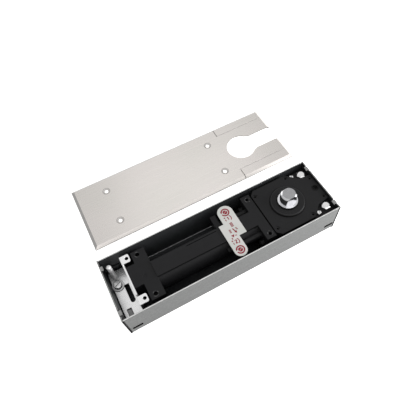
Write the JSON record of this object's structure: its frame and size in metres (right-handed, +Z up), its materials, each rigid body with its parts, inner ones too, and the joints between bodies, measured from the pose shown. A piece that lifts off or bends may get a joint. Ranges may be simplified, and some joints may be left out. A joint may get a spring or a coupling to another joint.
{
  "type": "floor spring door closer",
  "caption": "Floor spring door closer: steel cement box with hydraulic cam closer, flatted spindle, tail bracket and a loose stainless cover plate.",
  "frame": {"origin": "spindle axis at the underside of the cement box", "axes": "+X along the box from the tail bracket towards the spindle end, +Y from the box towards the loose cover plate, +Z up along the spindle"},
  "size_m": [0.306, 0.2245, 0.064],
  "materials": {
    "zinc_sheet": "satin galvanised sheet",
    "black_sheet": "black painted sheet with bright cut edges",
    "stainless_cover": "fine brushed stainless",
    "black_casting": "black painted casting",
    "black_cover": "smooth black paint",
    "black_screw": "black oxide",
    "bright_zinc": "bright zinc plating",
    "bracket_zinc": "pale zinc plating",
    "spindle_steel": "ground and polished steel",
    "cam_steel": "hardened, ground",
    "machined_steel": "machined",
    "bearing_bronze": "bronze",
    "seal_rubber": "matt",
    "spring_steel": "shot peened",
    "card_white": "satin card with red marks"
  },
  "bodies": {
    "box": {"box_channel": "zinc_sheet", "end_wall_left": "black_sheet", "end_wall_right": "black_sheet", "head_housing": "black_casting", "cylinder_body": "black_casting", "end_cap": "black_casting", "head_cover": "black_cover", "head_cover_screws": "black_screw", "filler_plug": "black_screw", "flange_bolts": "black_screw", "levelling_screws": "black_screw", "tail_screws": "black_screw", "box_weld_nuts": "bright_zinc", "hex_bolts": "bright_zinc", "side_screws": "bright_zinc", "clamp_bolt": "bright_zinc", "clamp_washer": "bright_zinc", "levelling_stud": "bright_zinc", "tail_bracket": "bracket_zinc", "spring_seat": "machined_steel", "upper_bearing": "bearing_bronze", "lower_bearing": "bearing_bronze", "cover_gasket": "seal_rubber", "oil_seal": "seal_rubber", "neck_gasket": "seal_rubber", "end_cap_seal": "seal_rubber", "closer_spring": "spring_steel", "setting_label": "card_white"},
    "spindle_turning": {"spindle": "spindle_steel", "cam_key": "cam_steel", "heart_cam": "cam_steel"},
    "carriage": {"carriage_plate_upper": "machined_steel", "carriage_plate_lower": "machined_steel", "crosshead": "machined_steel", "crosshead_pins": "machined_steel", "roller_pins": "machined_steel", "piston": "machined_steel", "piston_seal": "seal_rubber", "piston_nut": "machined_steel"},
    "closing_roller_body": {"closing_roller": "machined_steel"},
    "return_roller_body": {"return_roller": "machined_steel"},
    "latch_valve": {"valve_screw_latch": "machined_steel"},
    "sweep_valve": {"valve_screw_sweep": "machined_steel"},
    "cover": {"cover_plate": "stainless_cover"}
  },
  "joints": [
    {"name": "spindle_turn", "type": "hinge", "parent": "box", "child": "spindle_turning", "pos_m": [0, 0, 0.05], "axis": [0, 0, 1], "range_deg": [0, 130]},
    {"name": "carriage_slide", "type": "slide", "parent": "box", "child": "carriage", "axis": [-1, 0, 0], "range_m": [0, 0.01], "deforming": ["closer_spring"]},
    {"name": "closing_roller_spin", "type": "hinge", "parent": "carriage", "child": "closing_roller_body", "pos_m": [-0.015, 0, 0.026], "axis": [0, 0, 1], "continuous": true},
    {"name": "return_roller_spin", "type": "hinge", "parent": "carriage", "child": "return_roller_body", "pos_m": [0.02882, 0, 0.026], "axis": [0, 0, 1], "continuous": true},
    {"name": "latch_valve_turn", "type": "hinge", "parent": "box", "child": "latch_valve", "pos_m": [-0.0744, 0.0237, 0.04], "axis": [0, 0, 1], "range_deg": [-180, 180]},
    {"name": "sweep_valve_turn", "type": "hinge", "parent": "box", "child": "sweep_valve", "pos_m": [-0.0828, -0.0282, 0.04], "axis": [0, 0, 1], "range_deg": [-180, 180]},
    {"name": "cover_lift", "type": "slide", "parent": "box", "child": "cover", "axis": [0, 0, 1], "range_m": [0, 0.12]}
  ],
  "couplings": [
    {"joint": "carriage_slide", "follows": "spindle_turn", "m_per_rad": 0.0044}
  ]
}
